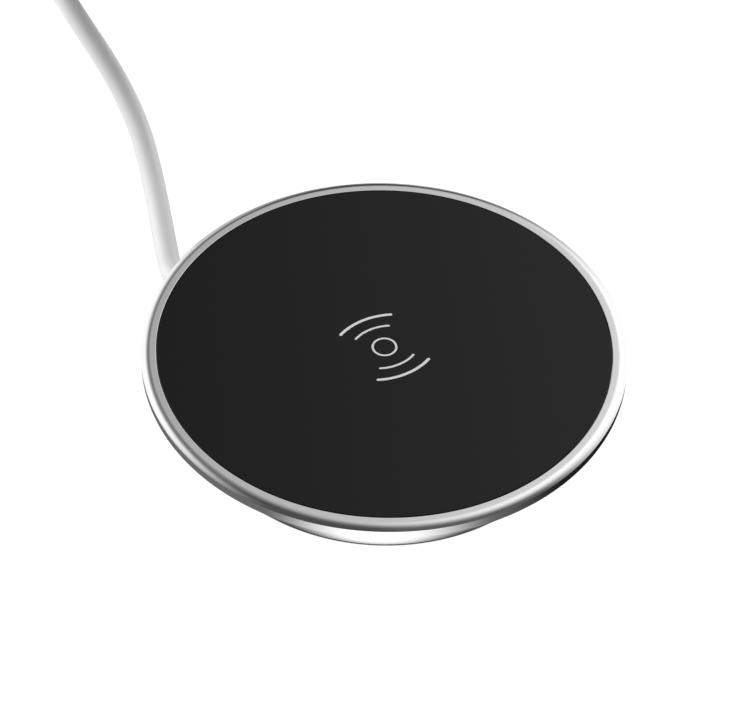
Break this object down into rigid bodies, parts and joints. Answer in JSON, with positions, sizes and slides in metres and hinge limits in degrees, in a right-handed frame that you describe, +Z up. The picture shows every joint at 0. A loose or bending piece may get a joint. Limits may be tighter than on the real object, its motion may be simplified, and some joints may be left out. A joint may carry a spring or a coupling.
{
  "type": "wireless charging pad",
  "caption": "Slim round wireless charging pad: black glass disc in a bright metal bezel, metal housing tapering to a smaller base, anti-slip foot and a fixed white cable with a USB plug.",
  "frame": {"origin": "centre of the foot ring's underside, on the table", "axes": "+Z up out of the glass, -Y towards the user, the cable leaves at the back left (-X, +Y)"},
  "size_m": [0.1165, 0.202, 0.0132],
  "materials": {
    "glass": "polished",
    "bezel_metal": "polished",
    "shell_metal": "polished",
    "foot_rubber": "matte",
    "base_plastic": "fine texture",
    "screw_steel": "satin",
    "frame_plastic": "matte",
    "tape": "matte",
    "ferrite": "matte",
    "copper": "varnished",
    "board": "satin",
    "chip_plastic": "matte",
    "ceramic": "matte",
    "sensor_epoxy": "gloss",
    "cable_white": "satin",
    "boot_white": "satin",
    "tie_white": "satin",
    "wire_red": "satin",
    "wire_black": "satin",
    "plug_white": "satin",
    "plug_steel": "satin",
    "plug_plastic": "matte",
    "contact_gold": "polished"
  },
  "bodies": {
    "root": {"glass_top": "glass", "rim_ring": "bezel_metal", "body_shell": "shell_metal", "foot_ring": "foot_rubber", "base_plate": "base_plastic", "base_screws": "screw_steel", "coil_carrier": "frame_plastic", "glass_tape": "tape", "ferrite_sheet": "ferrite", "coil_tape": "tape", "charging_coil": "copper", "coil_leads": "copper", "thermistor": "sensor_epoxy", "circuit_board": "board", "board_screws": "screw_steel", "controller_chip": "chip_plastic", "bridge_mosfets": "chip_plastic", "resonant_capacitors": "ceramic", "input_capacitors": "ceramic", "input_inductor": "chip_plastic", "strain_relief": "boot_white", "cable_inner_end": "cable_white", "cable_clamp": "frame_plastic", "clamp_screws": "screw_steel", "power_wire": "wire_red", "ground_wire": "wire_black", "cable_tube": "cable_white", "cable_coil": "cable_white", "cable_tie": "tie_white", "cable_tail": "cable_white", "plug_overmould": "plug_white", "plug_shell": "plug_steel", "plug_insulator": "plug_plastic", "plug_contacts": "contact_gold"}
  },
  "joints": []
}
